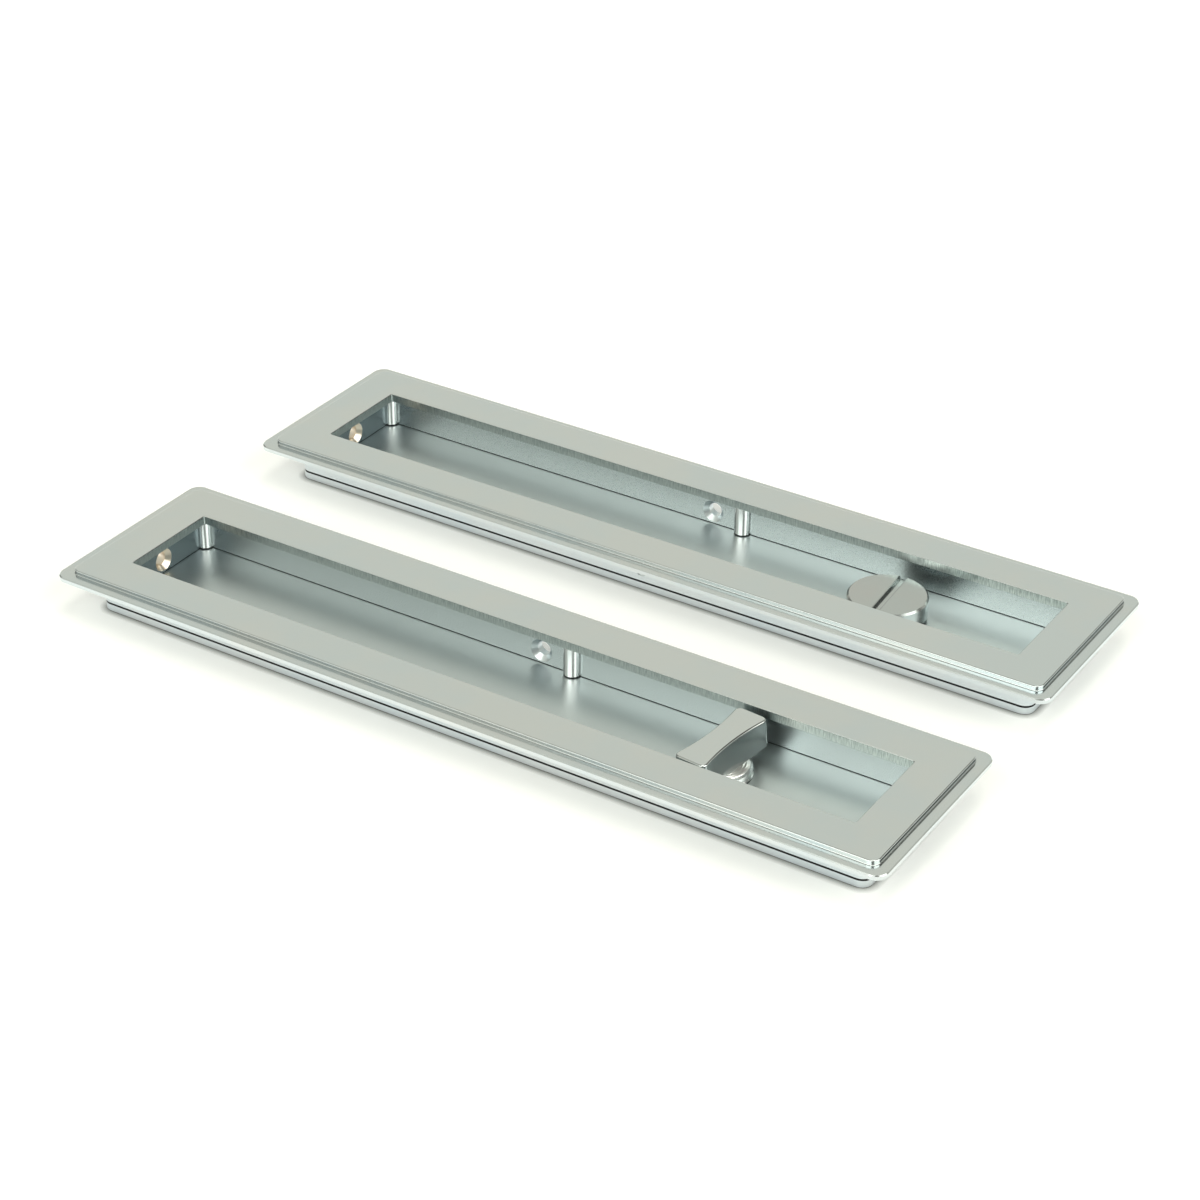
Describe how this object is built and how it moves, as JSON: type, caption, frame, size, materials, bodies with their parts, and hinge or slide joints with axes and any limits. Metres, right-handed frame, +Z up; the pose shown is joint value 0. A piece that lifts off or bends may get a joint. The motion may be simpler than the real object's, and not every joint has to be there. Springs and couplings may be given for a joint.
{
  "type": "rectangular flush pull privacy set",
  "caption": "Long rectangular flush pulls with undercut finger openings, a waisted thumbturn and a slotted emergency release.",
  "frame": {"origin": "on the resting surface, midway between the two pulls and halfway along them", "axes": "+X along the pulls towards the turns, +Y from the inside pull to the outside pull, +Z up, the way the finger openings face"},
  "size_m": [0.25, 0.148, 0.0135],
  "materials": {
    "satin_chrome": "satin chrome plate",
    "satin_chrome_base": "satin chrome plate",
    "satin_chrome_turn": "satin chrome plate",
    "polished_chrome": "polished chrome plate",
    "steel_screws": "zinc plated",
    "steel_washer": "plain steel"
  },
  "bodies": {
    "pulls": {"inside_face_plate": "satin_chrome", "inside_base_plate": "satin_chrome_base", "inside_base_screws": "steel_screws", "inside_turn_bush": "polished_chrome", "inside_pillar_back_left": "polished_chrome", "inside_pillar_back_middle": "polished_chrome", "inside_pillar_back_right": "polished_chrome", "inside_pillar_front_left": "polished_chrome", "inside_pillar_front_middle": "polished_chrome", "inside_pillar_front_right": "polished_chrome", "outside_face_plate": "satin_chrome", "outside_base_plate": "satin_chrome_base", "outside_base_screws": "steel_screws", "outside_turn_bush": "polished_chrome", "outside_pillar_back_left": "polished_chrome", "outside_pillar_back_middle": "polished_chrome", "outside_pillar_back_right": "polished_chrome", "outside_pillar_front_left": "polished_chrome", "outside_pillar_front_middle": "polished_chrome", "outside_pillar_front_right": "polished_chrome"},
    "thumbturn": {"thumbturn": "satin_chrome_turn", "inside_retaining_washer": "steel_washer"},
    "emergency_release": {"emergency_release": "satin_chrome_turn", "outside_retaining_washer": "steel_washer"}
  },
  "joints": [
    {"name": "thumbturn_turn", "type": "hinge", "parent": "pulls", "child": "thumbturn", "pos_m": [0.0647, -0.044, 0], "axis": [0, 0, 1], "range_deg": [-84.8, 5.2]},
    {"name": "release_turn", "type": "hinge", "parent": "pulls", "child": "emergency_release", "pos_m": [0.0647, 0.044, 0], "axis": [0, 0, 1], "range_deg": [-4.4, 85.6]}
  ]
}
